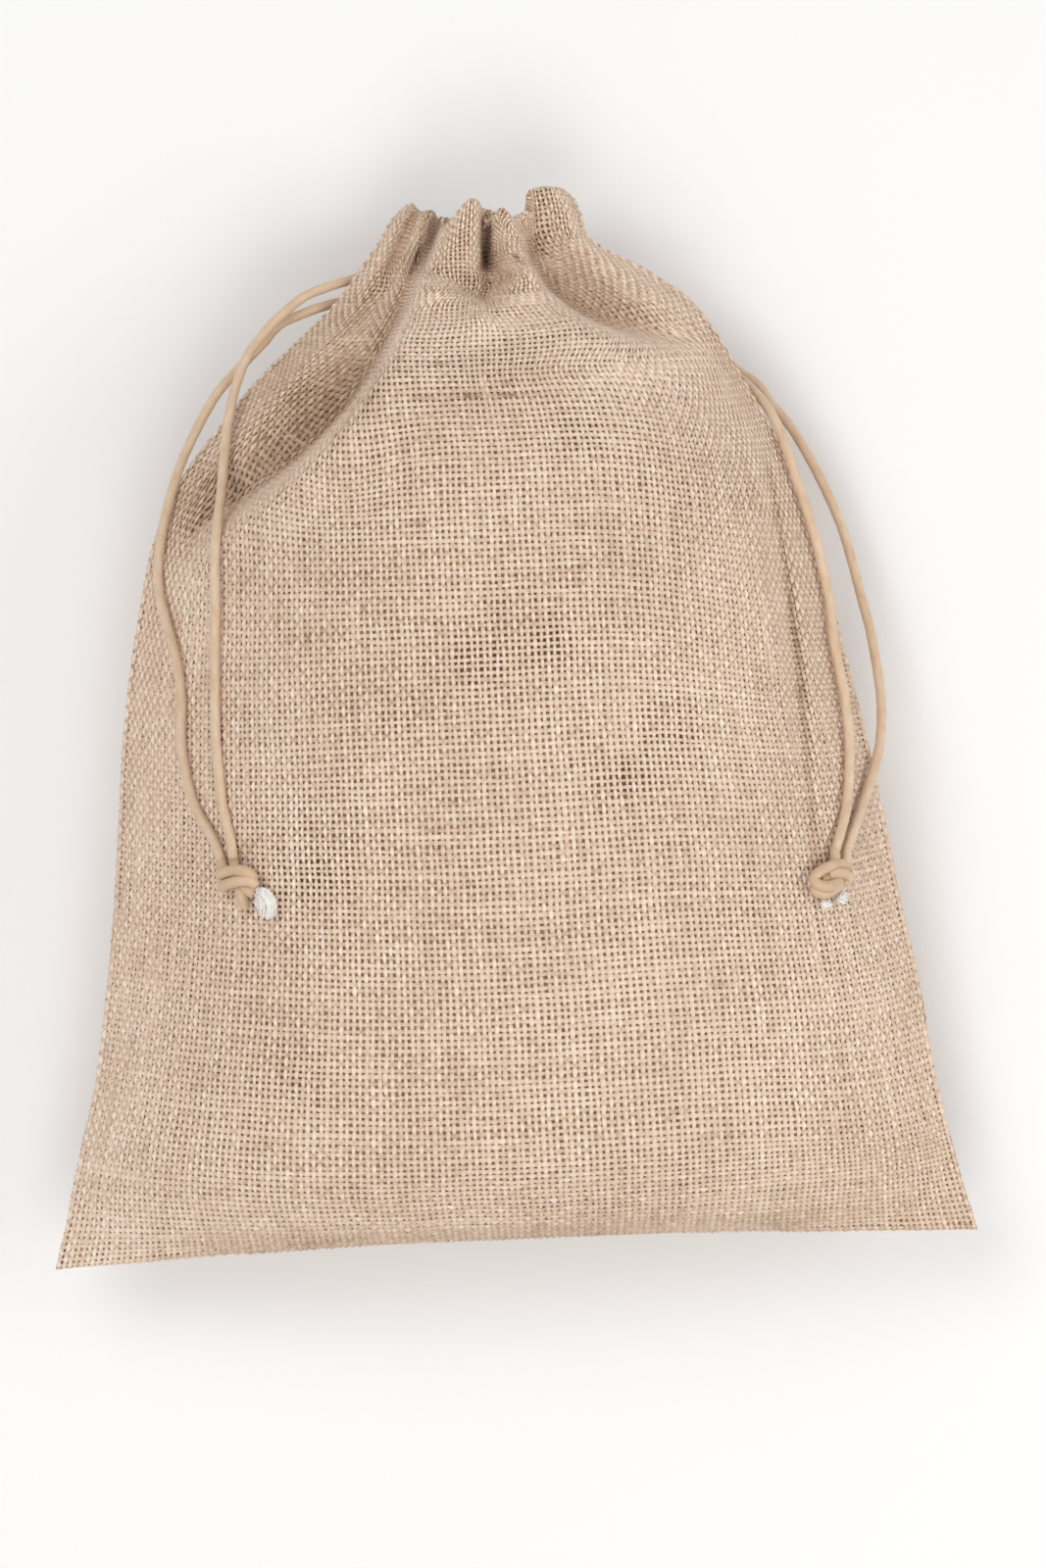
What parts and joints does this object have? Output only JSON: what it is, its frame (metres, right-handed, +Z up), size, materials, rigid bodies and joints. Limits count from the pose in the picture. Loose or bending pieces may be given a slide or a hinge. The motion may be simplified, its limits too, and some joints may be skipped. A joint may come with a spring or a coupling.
{
  "type": "burlap sack",
  "caption": "Softly filled jute drawstring sack lying on its back, its neck gathered into a ruffle, with knotted drawcords at both sides.",
  "frame": {"origin": "under the middle of the sack, on the surface it lies on", "axes": "+X across the sack, +Y from the bottom fold to the mouth, +Z up from the surface"},
  "size_m": [0.3, 0.3425, 0.111],
  "materials": {
    "hessian": "natural open plain weave",
    "cord": "tan waxed round cord",
    "core": "frayed white cotton core"
  },
  "bodies": {
    "root": {"sack_body": "hessian", "left_tail_a": "cord", "left_tail_b": "cord", "left_knot": "cord", "left_core_end": "core", "right_tail_outer": "cord", "right_tail_inner": "cord", "right_knot": "cord", "right_core_end_a": "core", "right_core_end_b": "core"}
  },
  "joints": []
}
